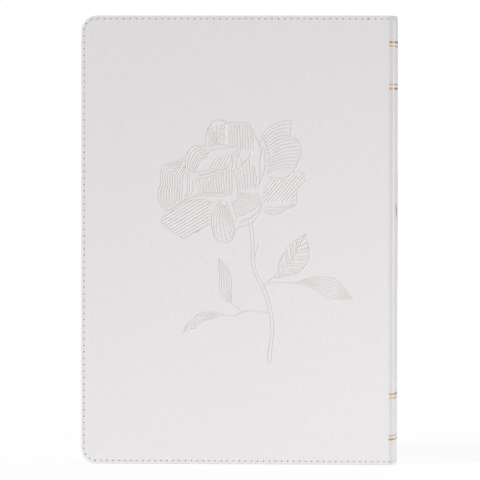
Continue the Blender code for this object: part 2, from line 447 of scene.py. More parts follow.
def petal(a, b, lines, rim=None, base=None, draw="abr"):
    """Strokes of one petal: its sides a and b from base to rim, and lines that flow between.

    draw says which edges are drawn: a, b, r for the rim, s for the base.
    """
    rng = random.Random(round(sum(map(sum, a)) * 10))
    count = 26
    side_a, side_b = catmull(a, count), catmull(b, count)
    u = np.linspace(0, 1, count)
    rim_curve = side_or_line(rim, side_a[-1], side_b[-1], count)
    base_curve = side_or_line(base, side_a[0], side_b[0], count)
    strokes = []
    edges = {"a": side_a, "b": side_b, "r": rim_curve, "s": base_curve}
    for key, curve in edges.items():
        if key in draw:
            strokes.append(curve)
    for k in range(lines):
        share = (k + 1) / (lines + 1)
        t = np.linspace(0, 1, count)[:, None]
        top = np.array([np.interp(share, u, rim_curve[:, i]) for i in (0, 1)])
        low = np.array([np.interp(share, u, base_curve[:, i]) for i in (0, 1)])
        curve = (1 - share) * side_a + share * side_b
        curve = curve + t * (top - curve[-1]) + (1 - t) * (low - curve[0])
        # the lines' ends are uneven
        first = rng.randint(1, 3)
        last = count - rng.randint(1, 3)
        strokes.append(curve[first:last])
    return strokes


def hatch(outline, degrees, spacing, trim=0.4):
    """Straight parallel strokes across a closed outline, ending trim short of it."""
    outline = np.array(outline, float)
    turn = math.radians(degrees)
    along = np.array([math.cos(turn), math.sin(turn)])
    across = np.array([-math.sin(turn), math.cos(turn)])
    u, v = outline @ along, outline @ across
    strokes = []
    for level in np.arange(v.min() + spacing / 2, v.max(), spacing):
        cuts = []
        for i in range(len(outline)):
            j = (i + 1) % len(outline)
            if (v[i] - level) * (v[j] - level) < 0:
                cuts.append(u[i] + (u[j] - u[i]) * (level - v[i]) / (v[j] - v[i]))
        cuts.sort()
        for start, end in zip(cuts[::2], cuts[1::2]):
            if end - start > 4 * trim:
                reach = np.linspace(start + trim, end - trim, 6)[:, None]
                strokes.append(reach * along + level * across)
    return strokes


def veined_leaf(midrib, a, b, veins):
    """Strokes of a leaf with a midrib and slanted veins."""
    mid, side_a, side_b = catmull(midrib, 40), catmull(a, 40), catmull(b, 40)
    strokes = [side_a, side_b, mid[2:-2]]
    for k in range(veins):
        at = 4 + int(28 * k / max(veins - 1, 1))
        for side, lead in ((side_a, 9), (side_b, 5)):
            end = side[min(at + lead, 38)]
            start = mid[at]
            strokes.append(np.linspace(start, start + 0.9 * (end - start), 8))
    return strokes


def back_petals():
    """The petals behind the bloom: two at the top, three at the sides."""
    s = []
    # top left, with veins in a V along its middle
    s += stroke(30, (-14.4, 25.3), (-14.5, 29.6), (-13.9, 32.4), (-12.3, 35.4), (-10.2, 37.8),
        (-7.7, 38.4), (-5.1, 37.7), (-3.7, 36.7))
    s += stroke(12, (-8.6, 35.6), (-8.9, 31), (-9, 26))
    for k in range(7):
        z = 35.6 - 1.55 * k
        left = -11.9 if k == 0 else -13.4
        s += stroke(8, (left, z), (-11.3, z - 2), (-9.5, max(z - 4.4, 25.4)))
        s += stroke(8, (-4.6, z + 0.6), (-6.6, z - 1.2), (-8.3, max(z - 3.8, 25.6)))
    # top middle
    s += petal(a=[(-2.9, 25.2), (-3.4, 30), (-3.7, 36)], b=[(11.6, 23), (11.2, 28), (9.3, 34.6)],
        lines=10, draw="r", base=[(-2.9, 25.2), (2, 23.4), (6, 22.8), (11.6, 23)],
        rim=[(-3.7, 36.7), (0, 36.9), (6, 37), (8, 36.8), (9.3, 34.6)])
    s += stroke(8, (9.3, 34.6), (10.3, 32.4), (11, 30.4), (12.4, 28.4))
    # upper right
    s += petal(a=[(14, 26.6), (15.7, 31.5), (20.5, 35.6), (25.9, 37.7), (30.4, 38.1)],
        b=[(17, 9.2), (20.5, 10.6), (24.8, 11.7), (31.2, 11.7)], lines=14, draw="ar",
        base=[(14, 26.6), (16.4, 23), (17.1, 16), (17, 9.2)],
        rim=[(30.4, 38.1), (29.8, 34.6), (29.9, 30.2), (32.8, 28.5), (34.9, 24.8), (35.4, 21.6),
            (33.3, 15.4), (31.2, 11.7)])
    s += stroke(18, (31.2, 11.7), (28.5, 9), (23.2, 8.1), (18.6, 8.8))
    # lower right, with slanted strokes over lines that follow its lower edge
    s += hatch([(15.8, -4), (15.8, 2.4), (18.4, 7.4), (23.2, 7.2), (28.5, 8.2), (31.6, 10.6),
        (35, 10.6), (36.6, 7.7), (35.2, 5.4), (32.5, 2.2), (32, -2.2), (31.6, -4.4)], 50, 1.42)
    s += petal(a=[(16.2, -5.2), (20, -5.6), (25.4, -5.5), (31.4, -5.2)],
        b=[(15.6, -9.4), (20, -10.8), (24.8, -10), (28.5, -7.8), (31.8, -6.4)], lines=2, draw="")
    s += stroke(48, (31.4, 11.5), (35.2, 11.5), (37.5, 7.7), (36, 5), (33.3, 1.9), (32.9, -2.2),
        (32.2, -6), (28.5, -7.8), (24.8, -10), (20, -10.8), (15.6, -9.4))
    # left, with its lobed outline
    s += petal(a=[(-25, 18.7), (-29, 17.2), (-33.3, 15.9), (-36.5, 14), (-38.3, 10.9), (-38, 5.6),
        (-39.3, 1.3), (-39.1, -2.4), (-37.5, -6.7), (-34.9, -9.3)],
        b=[(-25, 13.2), (-25.4, 8), (-25.4, 2), (-26.4, -3.6)], lines=9, draw="ar",
        base=[(-25, 18.7), (-25.6, 16), (-25, 13.2)], rim=[(-34.9, -9.3), (-30.6, -7.2), (-26.4, -3.6)])
    s += petal(a=[(-25, 13.4), (-25.3, 7), (-25.2, 2), (-26.2, -3.4)],
        b=[(-21.4, 10.2), (-21.9, 5.8), (-21.9, 1.6), (-24, -2.2)], lines=2, draw="")
    return s


def bud_strokes():
    """The bud: the rolled petal over it, its two front petals, tip and sheath."""
    s = []
    s += petal(a=[(-25, 10.7), (-25.1, 16.5), (-24.3, 20.6), (-22.2, 23.6), (-19.6, 24.8),
        (-14.4, 24.9)], b=[(-20, 11.5), (-17.3, 16.3), (-13.6, 19.4)], lines=5, draw="ab",
        base=[(-25, 10.7), (-22.5, 10.2), (-20, 11.5)], rim=[(-14.4, 24.9), (-13, 22.5), (-13.6, 19.4)])
    s += stroke(18, (-14.4, 24.9), (-10.4, 24.9), (-6.1, 25.4), (-0.8, 24.4))
    s += stroke(18, (-13.6, 20.4), (-11.5, 22.5), (-6.1, 23.5), (-0.8, 23.9))
    for k in range(5):
        x = -12.0 + 1.75 * k
        s += stroke(8, (x, 13.9 + 0.25 * k), (x + 1.5, 16.4 + 0.3 * k), (x + 3, 18.2 + 0.45 * k))
    s += stroke(30, (-21, 10.9), (-16.8, 11.6), (-10.4, 12.7), (-6.1, 13.8), (-2.6, 14.9), (-1.2, 18.2),
        (-0.6, 22))
    # front left
    s += petal(a=[(-19.6, 7.2), (-18.5, 3.2), (-16.2, 0.4)], b=[(-0.9, 13.2), (-0.8, 6), (-0.9, 0)],
        base=[(-19.6, 7.4), (-13.6, 8.5), (-9.3, 10), (-5.6, 12.8), (-0.9, 13.4)],
        rim=[(-16.2, 0.4), (-8, 0), (-0.9, 0)], lines=12, draw="abs")
    s += petal(a=[(-19.6, 10.2), (-15.6, 10.9), (-10.4, 12), (-6.8, 13)],
        b=[(-18, 8.3), (-13.6, 9.2), (-9.3, 10.8), (-6.4, 12.8)], lines=2, draw="")
    s += stroke(6, (-21.3, 5.6), (-20.8, 7), (-19.6, 7.4))
    # front right
    s += petal(a=[(1.3, 9), (1.9, 5), (2.1, 1.3)], b=[(10.9, 14.1), (11.8, 8), (11.4, 3.4)],
        base=[(1.3, 9), (3.3, 13.4), (5.2, 16.2), (7.7, 18.2), (10.9, 14.1)],
        rim=[(2.1, 1.3), (6, 1.9), (11.4, 3.4)], lines=6, draw="ab")
    s += stroke(6, (-0.9, 13.4), (1.3, 9))
    s += stroke(16, (0.4, 11.6), (3.3, 13.6), (5.2, 16.2), (7.7, 18.2), (9, 21))
    # tip and sheath
    s += stroke(20, (-0.6, 13.8), (-0.2, 18.4), (1.9, 22.8), (3.6, 18.4), (4.8, 15.9))
    s += stroke(8, (1.9, 21.2), (1.7, 17.4), (1.4, 14))
    s += stroke(26, (13, 27.2), (14.5, 22.7), (13.6, 16.3), (13.9, 10.9), (12.9, 3.4))
    s += stroke(26, (12.4, 28), (15.6, 23), (16.5, 18.4), (16.2, 13.6), (14.8, 8.3), (12.9, 3.4))
    return s


def front_petals():
    """The calm petal under the bud, the three below it and the turned edge."""
    s = []
    s += stroke(12, (-26.4, -3.6), (-23.4, -1.6), (-21.2, 1.4), (-21.3, 5.6))
    s += stroke(36, (-34.9, -9.3), (-30.2, -6.6), (-25.9, -4), (-20, -1.7), (-13.2, -1), (-7.2, -1.6),
        (-1.6, -0.6))
    s += stroke(14, (-23.4, -3), (-17.4, -0.2), (-10.6, 0), (-3.2, -0.2))
    s += petal(a=[(2.4, 0.6), (6.4, 1.2), (12.5, 1)],
        b=[(-1.5, -4.2), (-0.3, -9.3), (0.5, -12.5), (0.8, -14.7)], lines=10, draw="r",
        base=[(2.4, 0.6), (1.2, -2), (-1.5, -4.2)],
        rim=[(12.5, 1), (13.4, -1.3), (13.1, -5.1), (10.9, -8.3), (6.7, -10.9), (2.9, -12),
            (0.8, -14.7)])
    s += stroke(26, (15.2, -5.4), (14.1, -8.6), (12.2, -12), (9.9, -15.6), (6.1, -16.9), (2.9, -17.5),
        (0.9, -20.3))
    s += stroke(22, (14.4, -4.4), (13.2, -8.4), (9.6, -12.4), (5.4, -14.1), (2.6, -15.4))
    s += petal(a=[(-6.7, -3.7), (-9.3, -7.2), (-11.2, -10.9), (-11.5, -15.7), (-10.4, -21)],
        b=[(-3.6, -4.8), (-1.9, -9.3), (0.2, -14.7)],
        rim=[(-10.4, -21), (-8.3, -24.3), (-4, -25.6), (-0.8, -24.3), (0.5, -20.5), (0.6, -17),
            (0.2, -14.7)], lines=8, draw="abr")
    low_left = [(-11.6, -4.6), (-15.7, -3.3), (-20, -3.4), (-25.9, -4.7), (-31.2, -8.5), (-37.6, -13.1),
        (-37.8, -14.9), (-35.2, -17.5), (-30.6, -20.4), (-26.4, -23.5), (-22, -21.6), (-17, -18.8),
        (-12.5, -16.3), (-12.4, -10)]
    s += stroke(26, *low_left[:6])
    s += stroke(12, *low_left[5:10])
    s += stroke(16, *low_left[9:13])
    s += hatch(low_left, 31, 1.5)
    return s


def stem_and_leaves():
    """The stem with its thorn, the stalks and four leaves."""
    s = []
    s += stroke(60, (8.9, -16.7), (10.1, -25.2), (10.5, -37.2), (12.2, -43.6), (15.3, -49.9),
        (17.6, -55.8), (19.4, -62), (20.3, -67), (20.6, -74.2), (19.5, -81.9), (18.9, -86.8),
        (19.6, -89.2))
    s += stroke(60, (10.8, -16.8), (11.8, -27.3), (12.2, -38.2), (13.8, -43.4), (17, -49.6),
        (19.4, -55.6), (21.1, -62), (21.9, -67), (22.2, -73.4), (21.3, -81), (20.9, -88.6))
    s += stroke(8, (14.2, -28.8), (13, -30.9), (12.4, -33.6))
    s += stroke(8, (0, -58.8), (2.6, -60.6), (5, -62.6))
    s += stroke(24, (-4.5, -64.9), (1.3, -65.3), (6, -63.3), (10.1, -62.7), (19.2, -63.6))
    s += stroke(18, (16.9, -50.4), (20.6, -48.2), (26, -47.8), (33.1, -48.1))
    s += veined_leaf([(21.6, -45.7), (26.5, -42.5), (31.5, -36), (35.2, -29), (38.4, -22.8)],
        [(16.9, -49), (21.6, -45.4), (23.9, -41.6), (25.3, -36.1), (28.9, -30), (33.1, -26.2),
            (38.4, -22.6)],
        [(22.8, -45.4), (28, -44.6), (33.4, -43.3), (37.5, -40.3), (39.9, -36.1), (40.4, -31.2),
            (38.4, -22.6)], veins=12)
    s += petal(a=[(33.1, -48), (40.4, -45.6), (47.7, -44.9), (54, -46), (58.7, -50.5), (62.9, -56)],
        b=[(33.1, -48.2), (40.4, -49.6), (45.1, -52.4), (49.8, -55), (56.6, -56.2), (62.9, -56)],
        lines=5, draw="ab")
    s += petal(a=[(-6.7, -35.6), (-6.2, -43.4), (-6.2, -51), (-4.2, -55.4), (0, -58.6)],
        b=[(-6.7, -35.6), (-3, -38.7), (-0.7, -42.4), (0, -49.2), (0, -58.6)], lines=4, draw="ab")
    s += petal(a=[(-24.9, -74), (-23.3, -70.2), (-20.2, -66.9), (-16.5, -64), (-10.8, -63.3),
        (-4.5, -64.9)],
        b=[(-24.9, -74), (-20.2, -72), (-15.4, -68.4), (-12.3, -66.9), (-8.4, -66.2), (-4.5, -64.9)],
        lines=3, draw="ab")
    return s


def rose_strokes():
    """Every groove of the rose on the back cover, as (x, z) lines."""
    bloom = back_petals() + bud_strokes() + front_petals()
    strokes = [np.asarray(line) + BLOOM for line in bloom]
    return strokes + [np.asarray(line) + STALKS for line in stem_and_leaves()]


# ---------------------------------------------------------------- the case's shape

def spine_outline():
    """The outer section from the spine's crest to the flat face, as (x, y) with y >= 0."""
    back_steps, bend_steps, flat_steps = 30, 9, 18
    outline = []
    for i in range(back_steps + 1):
        a = SPINE_ARC * i / back_steps
        outline.append((X_CREST - SPINE_RADIUS * (1 - math.cos(a)), SPINE_RADIUS * math.sin(a)))
    for i in range(1, bend_steps + 1):
        a = SPINE_ARC + (math.pi / 2 - SPINE_ARC) * i / bend_steps
        outline.append((X_HINGE + SPINE_CORNER * math.cos(a),
                        HALF - SPINE_CORNER + SPINE_CORNER * math.sin(a)))
    for i in range(1, flat_steps + 1):
        outline.append((X_HINGE + (FLAT_END - X_HINGE) * i / flat_steps, HALF))
    return outline


class Sheet:
    """The outer surface of half a case, laid flat: s runs from the crest, z is the height."""

    def __init__(self):
        pts = np.array(spine_outline(), float)
        steps = np.linalg.norm(np.diff(pts, axis=0), axis=1)
        self.points = pts
        self.along = np.concatenate([[0], np.cumsum(steps)])
        self.flat_s = self.along[-1]
        self.hinge_s = self.flat_s - (X_HINGE - FLAT_END)
        tangents = np.gradient(pts, self.along, axis=0)
        tangents /= np.linalg.norm(tangents, axis=1)[:, None]
        tangents[0] = (0, 1)
        tangents[-1] = (-1, 0)
        self.tangents = tangents

    def s_of_x(self, x):
        """Distance along the sheet of a place on the flat face."""
        return self.flat_s + FLAT_END - x

    def frame(self, s):
        """Place, tangent towards the fore edge and outward normal, with y >= 0."""
        if s >= self.flat_s:
            return np.array([FLAT_END - (s - self.flat_s), HALF]), np.array([-1.0, 0.0]), \
                np.array([0.0, 1.0])
        p = np.array([np.interp(s, self.along, self.points[:, k]) for k in (0, 1)])
        t = np.array([np.interp(s, self.along, self.tangents[:, k]) for k in (0, 1)])
        t /= np.linalg.norm(t)
        return p, t, np.array([t[1], -t[0]])

    def thickness(self, s):
        """The case is thick over the boards and thin over the joint and spine."""
        low, high = self.hinge_s + BOARD_RISE[0], self.hinge_s + BOARD_RISE[1]
        w = min(max((s - low) / (high - low), 0), 1)
        w = w * w * (3 - 2 * w)
        return SPINE_LEATHER + w * (COVER - SPINE_LEATHER)


def seam_path(sheet, inset, spacing):
    """The open outline from the crest at the tail, round the fore edge, to the crest at the head.

    Returns (s, z) and the direction out of the sheet, in sheet coordinates.
    """
    s_fore = sheet.s_of_x(X_FORE)
    radius = CORNER - inset
    centre_s = s_fore - CORNER
    places, outs = [], []

    def run(start, end, out):
        start, end = np.array(start, float), np.array(end, float)
        n = max(int(round(np.linalg.norm(end - start) / spacing)), 1)
        places.extend(start + (end - start) * i / n for i in range(n))
        outs.extend(np.array(out, float) for _ in range(n))

    def corner(centre_z, low):
        n = max(int(round(math.radians(90) * radius / spacing)), 6)
        for i in range(n):
            a = math.radians(low + 90 * i / n)
            outs.append(np.array([math.cos(a), math.sin(a)]))
            places.append(np.array((centre_s, centre_z)) + radius * outs[-1])

    run((0, inset), (centre_s, inset), (0, -1))
    corner(CORNER, -90)
    run((s_fore - inset, CORNER), (s_fore - inset, HEIGHT - CORNER), (1, 0))
    corner(HEIGHT - CORNER, 0)
    run((centre_s, HEIGHT - inset), (0, HEIGHT - inset), (0, 1))
    places.append(np.array([0, HEIGHT - inset]))
    outs.append(np.array([0.0, 1.0]))
    return np.array(places), np.array(outs)


def stitch_holes(sheet):
    """Where the needle went through: evenly spaced along the seam."""
    fine, _ = seam_path(sheet, SEAM_INSET, 0.2)
    steps = np.linalg.norm(np.diff(fine, axis=0), axis=1)
    pitch = np.where(fine[:-1, 1] < CORNER, TAIL_STITCH, STITCH)
    turns = np.concatenate([[0], np.cumsum(steps / pitch)])
    count = int(round(turns[-1]))
    want = (np.arange(count) + 0.5) * turns[-1] / count
    return np.stack([np.interp(want, turns, fine[:, k]) for k in (0, 1)], 1)


def inset_field(sheet, p):
    """Distance in from the case's outline, and its gradient."""
    s_fore = sheet.s_of_x(X_FORE)
    s, z = p[:, 0], p[:, 1]
    choices = np.stack([s_fore - s, z, HEIGHT - z])
    which = choices.argmin(0)
    value = choices.min(0)
    grads = np.array([[-1, 0], [0, 1], [0, -1]], float)[which]
    for cz, past in ((CORNER, z < CORNER), (HEIGHT - CORNER, z > HEIGHT - CORNER)):
        centre = np.array([s_fore - CORNER, cz])
        near = past & (s > s_fore - CORNER)
        d = p[near] - centre
        length = np.maximum(np.linalg.norm(d, axis=1), 1e-6)
        value[near] = CORNER - length
        grads[near] = -d / length[:, None]
    return value, grads


def dip(distance, half, depth):
    """A smooth dip: its height and its slope against distance."""
    t = np.clip(distance / half, 0, 1)
    inside = distance < half
    height = np.where(inside, -depth * 0.5 * (1 + np.cos(math.pi * t)), 0)
    slope = np.where(inside, depth * 0.5 * math.pi / half * np.sin(math.pi * t), 0)
    return height, slope


class Grooves:
    """Finds the nearest groove by a search tree over short pieces of every stroke."""

    PIECE = 0.25

    def __init__(self, strokes):
        fine = []
        for line in strokes:
            length = np.linalg.norm(np.diff(line, axis=0), axis=1).sum()
            fine.append(catmull(line, max(int(length / self.PIECE), 3)))
        self.start = np.vstack([line[:-1] for line in fine])
        self.step = np.vstack([np.diff(line, axis=0) for line in fine])
        middle = self.start + self.step / 2
        self.tree = KDTree(len(middle))
        for i, place in enumerate(middle):
            self.tree.insert((place[0], place[1], 0), i)
        self.tree.balance()

    def nearest(self, p):
        """Distance from each p to its nearest groove, and the unit vector away from it."""
        found = [self.tree.find((q[0], q[1], 0))[1] for q in p]
        start, step = self.start[found], self.step[found]
        t = np.clip(((p - start) * step).sum(1) / (step ** 2).sum(1), 0, 1)
        away = p - start - t[:, None] * step
        distance = np.linalg.norm(away, axis=1)
        return distance, away / np.maximum(distance, 1e-9)[:, None]


def relief(sheet, p, holes, grooves):
    """Height and gradient of the outer surface at sheet places p, the painted shade of its holes and
    grooves, and how much is groove.
    """
    height = np.zeros(len(p))
    grad = np.zeros((len(p), 2))
    pressed = np.zeros(len(p))
    if grooves is not None:
        d, away = grooves.nearest(p)
        h, k = dip(d, GROOVE_HALF, GROOVE_DEPTH)
        height += h
        grad += k[:, None] * away
        pressed = -h / GROOVE_DEPTH
    inset, toward = inset_field(sheet, p)
    offset = inset - SEAM_INSET
    h, k = dip(np.abs(offset), CHANNEL_HALF, CHANNEL_DEPTH)
    height += h
    grad += (k * np.sign(offset))[:, None] * toward
    v = p[:, None] - holes[None]
    d2 = (v ** 2).sum(2)
    which = d2.argmin(1)
    rows = np.arange(len(p))
    d = np.sqrt(d2[rows, which])
    h, k = dip(d, HOLE_RADIUS, HOLE_DEPTH)
    height += h
    grad += k[:, None] * v[rows, which] / np.maximum(d, 1e-9)[:, None]
    # painted shade: holes and grooves are darkened in colour by their depth, standing in for the shade
    # that falls in them
    in_hole = np.clip(-h / HOLE_DEPTH * HOLE_EDGE, 0, 1)
    painted_shade = np.maximum(pressed * GROOVE_PAINTED_SHADE, in_hole * HOLE_PAINTED_SHADE)
    s, z = p[:, 0], p[:, 1]
    # the waves fade out towards the outline and the hinge
    fade = np.clip((inset - 3) / 15, 0, 1) * np.clip((s - sheet.hinge_s - 5) / 20, 0, 1)
    for ks, kz, phase in WAVES:
        wave = ks * s + kz * z + phase
        height += WAVE * fade * np.sin(wave)
        grad += (WAVE * fade * np.cos(wave))[:, None] * np.array([ks, kz])
    return height, grad, painted_shade, pressed


def flat_mesh(sheet, loop, holes, strokes):
    """Triangles of the flat face, in sheet coordinates, with crisp lines along each groove."""
    verts, edges = [tuple(p) for p in loop], []

    def chain(points):
        start = len(verts)
        verts.extend(tuple(p) for p in points)
        edges.extend((start + i, start + i + 1) for i in range(len(points) - 1))

    for line in strokes:
        d = np.gradient(line, axis=0)
        d /= np.maximum(np.linalg.norm(d, axis=1), 1e-9)[:, None]
        normal = np.stack([-d[:, 1], d[:, 0]], 1)
        for share in (-1, -0.5, 0, 0.5, 1):
            chain(line + normal * GROOVE_HALF * share)
    for share in (-1, -0.5, 0.5, 1):
        path, _ = seam_path(sheet, SEAM_INSET + share * CHANNEL_HALF, STITCH)
        chain([p for p in path if p[0] > sheet.flat_s + 0.3])
    inner = holes[holes[:, 0] > sheet.flat_s + HOLE_RADIUS]
    for hole in inner:
        verts.append(tuple(hole))
        for radius, count in ((0.5, 6), (1.0, 8)):
            for k in range(count):
                a = 2 * math.pi * (k + radius) / count
                verts.append((hole[0] + radius * HOLE_RADIUS * math.cos(a),
                              hole[1] + radius * HOLE_RADIUS * math.sin(a)))
    s_fore = sheet.s_of_x(X_FORE)
    grid = [(s, z) for s in np.arange(sheet.flat_s + 3, s_fore - 4, COARSE)
            for z in np.arange(5.0, HEIGHT - 4, COARSE)]
    lines = np.vstack(strokes)
    low, high = lines.min(0) - 1.0, lines.max(0) + 1.0
    grid += [(s, z) for s in np.arange(low[0], high[0], FINE)
             for z in np.arange(low[1], high[1], FINE)]
    near = Grooves(strokes).nearest(np.array(grid))[0]
    grid = [g for g, distance in zip(grid, near) if distance > GROOVE_HALF * 1.25]
    verts.extend(tuple(g) for g in grid)
    out = delaunay_2d_cdt([Vector(v) for v in verts], edges, [list(range(len(loop)))], 1, 1e-6)
    points = np.array([tuple(v) for v in out[0]])
    origin = [ids[0] if ids else -1 for ids in out[3]]
    return points, out[2], origin


def strokes_on_sheet(sheet, strokes, side):
    """Strokes in sheet coordinates; the front cover's rose is turned so it isn't mirrored."""
    middle = (X_FORE + X_HINGE) / 2
    turned = [line if side < 0 else line * (-1, 1) + (2 * middle, 0) for line in strokes]
    return [np.stack([sheet.s_of_x(line[:, 0]), line[:, 1]], 1) for line in turned]


class CaseHalf:
    """The leather of one cover and half of the spine, as one closed skin."""

    TURN_STEPS = 8

    def __init__(self, side, sheet, strokes, holes):
        self.side, self.sheet, self.strokes, self.holes = side, sheet, strokes, holes
        self.grooves = Grooves(strokes)
        self.verts, self.normals, self.faces = [], [], []
        # the first mark carries the painted shade of the holes and grooves to the leather material
        self.marks = {"painted_shade": [], "pressed": []}
        self.columns = self.bend_columns()
        self.rows = self.bend_rows()
        strip = self.bending_strip()
        rim, outs, on_rim = self.flat_face(strip)
        self.inner_face(self.rounded_edge(strip, rim, outs, on_rim))

    def add(self, place, normal, painted_shade=0.0, pressed=0.0):
        self.verts.append((place[0] * MM, self.side * place[1] * MM, place[2] * MM))
        self.normals.append((normal[0], self.side * normal[1], normal[2]))
        self.marks["painted_shade"].append(painted_shade)
        self.marks["pressed"].append(pressed)
        return len(self.verts) - 1

    def add_outer(self, points, grooves=None):
        """Vertices of the outer surface at sheet places, raised by its relief."""
        ids = []
        found = relief(self.sheet, points, self.holes, grooves)
        for p, h, g, painted_shade, pressed in zip(points, *found):
            place, tangent, out = self.sheet.frame(p[0])
            xy = place + out * h
            normal = np.array([out[0], out[1], 0]) \
                - g[0] * np.array([tangent[0], tangent[1], 0]) - g[1] * np.array([0, 0, 1])
            normal /= np.linalg.norm(normal)
            ids.append(self.add((xy[0], xy[1], p[1]), normal, painted_shade, pressed))
        return ids

    def bend_columns(self):
        """Places along the section of the spine and the bending strip."""
        columns = list(np.arange(0, self.sheet.flat_s, STITCH / 6))
        if self.sheet.flat_s - columns[-1] < 0.3:
            columns.pop()
        return columns + [self.sheet.flat_s]

    def bend_rows(self):
        """Heights of the strip's rows, close together at the seams."""
        near = [EDGE_ROLL] + list(np.arange(EDGE_ROLL + 0.25, SEAM_INSET + CHANNEL_HALF + 0.2,
                                            0.2))
        rows = near + list(np.linspace(near[-1] + 1, HEIGHT - near[-1] - 1, 56))
        return rows + [HEIGHT - z for z in reversed(near)]

    def bending_strip(self):
        """The outer face of the spine and the joint, column by column."""
        strip = self.add_outer(np.array([(s, z) for s in self.columns for z in self.rows]))
        height = len(self.rows)
        for i in range(len(self.columns) - 1):
            for j in range(height - 1):
                a, b = strip[i * height + j], strip[(i + 1) * height + j]
                self.faces.append((a, b, b + 1, a + 1))
        return strip

    def flat_face(self, strip):
        """The outer face of the cover, joined to the strip. Returns its rim."""
        height = len(self.rows)
        rim, outs = seam_path(self.sheet, EDGE_ROLL, RIM_PITCH)
        keep = rim[:, 0] > self.sheet.flat_s + 0.5
        rim, outs = rim[keep], outs[keep]
        loop = [(self.sheet.flat_s, z) for z in reversed(self.rows)] + [tuple(p) for p in rim]
        points, triangles, origin = flat_mesh(self.sheet, np.array(loop), self.holes,
                                              self.strokes)
        ids = self.add_outer(points, self.grooves)
        by_loop = {}
        for i, source in enumerate(origin):
            if 0 <= source < height:
                ids[i] = strip[-1 - source]
            if 0 <= source < len(loop):
                by_loop[source] = ids[i]
        self.faces += [tuple(ids[k] for k in triangle) for triangle in triangles]
        return rim, outs, [by_loop[height + k] for k in range(len(rim))]

    def rounded_edge(self, strip, rim, outs, on_rim):
        """Rings that turn from the outer to the inner face. Returns the last one."""
        height = len(self.rows)
        tail = [(np.array([s, EDGE_ROLL]), np.array([0, -1.0]), strip[i * height])
                for i, s in enumerate(self.columns)]
        head = [(np.array([s, HEIGHT - EDGE_ROLL]), np.array([0, 1.0]),
                 strip[i * height + height - 1]) for i, s in enumerate(self.columns)]
        edge = tail + list(zip(rim, outs, on_rim)) + head[::-1]
        previous = [vertex for _, _, vertex in edge]
        for k in range(1, self.TURN_STEPS + 1):
            a = math.pi * k / self.TURN_STEPS
            ring = []
            for p, out, _ in edge:
                place, tangent, normal = self.sheet.frame(p[0])
                out3 = np.array([tangent[0] * out[0], tangent[1] * out[0], out[1]])
                n3 = np.array([normal[0], normal[1], 0])
                at = np.array([place[0], place[1], p[1]])
                at = at + out3 * (EDGE_ROLL * math.sin(a) ** 0.7) \
                    - n3 * self.sheet.thickness(p[0]) / 2 * (1 - math.cos(a))
                ring.append(self.add(at, out3 * math.sin(a) + n3 * math.cos(a)))
            for i in range(len(edge) - 1):
                self.faces.append((previous[i], ring[i], ring[i + 1], previous[i + 1]))
            previous = ring
        return previous

    def inner_face(self, ring):
        """Long strips over the spine and one large face over the cover."""
        last, columns = len(ring) - 1, len(self.columns)
        for i in range(columns - 1):
            self.faces.append((ring[i], ring[last - i], ring[last - 1 - i], ring[i + 1]))
        cover = ring[columns - 1:len(ring) - columns + 1]
        self.faces.append(tuple(cover))
        for vertex in cover:
            self.normals[vertex] = (0, -self.side, 0)

    def finish(self, name, mat):
        """The object, with its crest closed and the relief's own normals."""
        mesh = bpy.data.meshes.new(name)
        mesh.from_pydata(self.verts, [], self.faces)
        mesh.materials.append(mat)
        add_marks(mesh, **self.marks)
        bm = bmesh.new()
        bm.from_mesh(mesh)
        bmesh.ops.dissolve_degenerate(bm, edges=bm.edges, dist=1e-9)
        bmesh.ops.holes_fill(bm, edges=[e for e in bm.edges if e.is_boundary], sides=0)
        bmesh.ops.recalc_face_normals(bm, faces=bm.faces)
        bm.to_mesh(mesh)
        bm.free()
        mesh.polygons.foreach_set("use_smooth", [True] * len(mesh.polygons))
        ob = bpy.data.objects.new(name, mesh)
        bpy.context.collection.objects.link(ob)
        if len(mesh.vertices) == len(self.normals):
            mesh.normals_split_custom_set_from_vertices(self.normals)
        return ob


# ---------------------------------------------------------------- seam, foil, ornaments

def sheet_point(sheet, side, s, z, lift):
    """A place on the sheet, raised by lift, in the row frame and millimetres."""
    place, _, normal = sheet.frame(s)
    xy = place + normal * lift
    return Vector((xy[0], side * xy[1], z))


def stitches(name, side, sheet, holes, keep, mat, inner=False):
    """A short rounded stitch between each two holes; inner ones lie on the cover's inside."""
    bm = bmesh.new()
    rng = random.Random(5 if side > 0 else 9)
    for a, b in zip(holes, holes[1:]):
        middle = (a + b) / 2
        if not keep(middle[0]):
            continue
        path = []
        slant = rng.uniform(-SLANT, SLANT)
        across = np.array([-(b - a)[1], (b - a)[0]]) / np.linalg.norm(b - a)
        for t, lift, _ in STITCH_SHAPE:
            p = a + (b - a) * t + across * slant * math.sin(math.pi * (t - 0.5))
            if inner:
                lift = -sheet.thickness(p[0]) - lift - SINK
            path.append(sheet_point(sheet, side, p[0], p[1], lift))
        _, _, normal = sheet.frame(middle[0])
        tube(bm, path, [radius for _, _, radius in STITCH_SHAPE],
             across=(normal[0], side * normal[1], 0))
    return finish_object(name, bm, [mat])


def spine_point(sheet, s, z, lift):
    """A raised place on the spine or beyond it; s is 0 at its crest and negative at the back."""
    return sheet_point(sheet, 1 if s >= 0 else -1, abs(s), z, lift)


def gold_rules(sheet, mat):
    """The four pairs of rules, a thick and a thin one in each, from hinge line to hinge line."""
    bm = bmesh.new()
    reach = sheet.hinge_s - 0.7
    for z, half in RULES:
        section = ((-half, -FOIL_ROOT), (-half * 0.9, FOIL_LIFT), (half * 0.9, FOIL_LIFT),
                   (half, -FOIL_ROOT))
        skin(bm, [[spine_point(sheet, s, z + dz, lift) for dz, lift in section]
                  for s in np.linspace(-reach, reach, 84)])
    ob = finish_object("spine_gold_rules", bm, [mat])
    sharpen(ob)
    return ob


